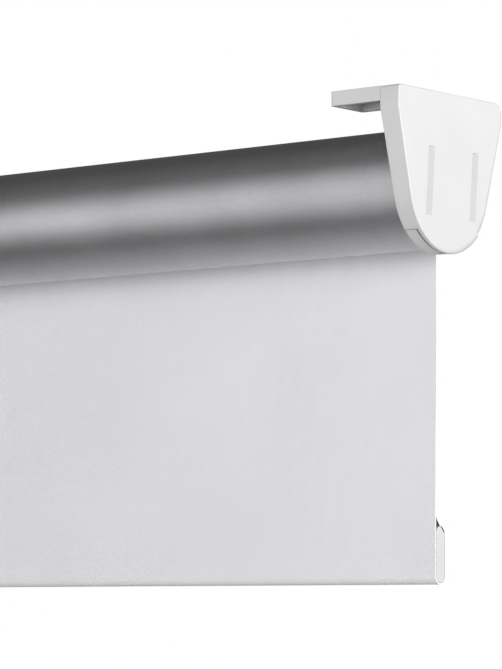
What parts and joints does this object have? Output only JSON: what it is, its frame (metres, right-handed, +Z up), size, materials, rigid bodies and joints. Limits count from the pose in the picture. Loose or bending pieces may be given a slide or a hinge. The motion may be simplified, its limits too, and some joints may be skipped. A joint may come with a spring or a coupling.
{
  "type": "roller blind",
  "caption": "Chain-operated roller blind with silver-backed fabric, falling behind the roll between two covered universal brackets, with a hem bar in a fabric pocket.",
  "frame": {"origin": "mid-width of the blind, where the wall plane meets the ceiling plane", "axes": "+X along the roller, chain drive at -X; -Y towards the room; +Z up"},
  "size_m": [0.6, 0.0735, 0.201],
  "materials": {
    "white_plastic": "smooth semi-gloss moulding",
    "natural_plastic": "natural acetal, satin",
    "grey_plastic": "satin silver-grey moulding",
    "drive_plastic": "black glass-filled nylon",
    "strip_plastic": "extruded strip",
    "steel": "zinc-plated",
    "tube_aluminium": "mill finish extrusion",
    "sheet_fabric": "fine plain weave, matt, room side",
    "silver_backing": "satin metallised back of the fabric"
  },
  "bodies": {
    "root": {"right_bracket": "white_plastic", "left_bracket": "white_plastic", "right_cover": "white_plastic", "left_cover": "white_plastic", "pin_bush": "natural_plastic", "clutch_hub": "drive_plastic", "clutch_screws": "steel", "clutch_washer": "steel", "chain_guard": "white_plastic", "hanging_sheet": "sheet_fabric"},
    "roller": {"roller_tube": "tube_aluminium", "fabric_roll": "silver_backing", "fabric_strip": "strip_plastic", "idle_plug": "grey_plastic", "spring_cap": "drive_plastic", "drive_sleeve": "drive_plastic", "tube_adaptor": "grey_plastic", "idle_spring": "steel"},
    "pin": {"idle_pin": "steel"},
    "drive_wheel": {"chain_wheel": "white_plastic", "outer_wrap_spring": "steel", "inner_wrap_spring": "steel"},
    "hem": {"hem_bar": "tube_aluminium", "hem_pocket": "sheet_fabric", "right_hem_cap": "white_plastic", "left_hem_cap": "white_plastic"}
  },
  "joints": [
    {"name": "roll_turn", "type": "hinge", "parent": "root", "child": "roller", "pos_m": [0, -0.03675, -0.0381], "axis": [-1, 0, 0], "range_deg": [-224, 2920]},
    {"name": "chain_wheel_turn", "type": "hinge", "parent": "root", "child": "drive_wheel", "pos_m": [-0.28, -0.03675, -0.0381], "axis": [-1, 0, 0], "range_deg": [-226, 2922]},
    {"name": "hem_drop", "type": "slide", "parent": "root", "child": "hem", "axis": [0, 0, -1], "range_m": [-0.1, 1.3], "deforming": ["hanging_sheet"]},
    {"name": "pin_retract", "type": "slide", "parent": "roller", "child": "pin", "axis": [-1, 0, 0], "range_m": [0, 0.0075], "stiffness_N_per_m": 400, "springref_m": -0.004, "deforming": ["idle_spring"]}
  ],
  "couplings": [
    {"joint": "chain_wheel_turn", "follows": "roll_turn", "ratio": 1},
    {"joint": "hem_drop", "follows": "roll_turn", "m_per_rad": 0.0255}
  ]
}
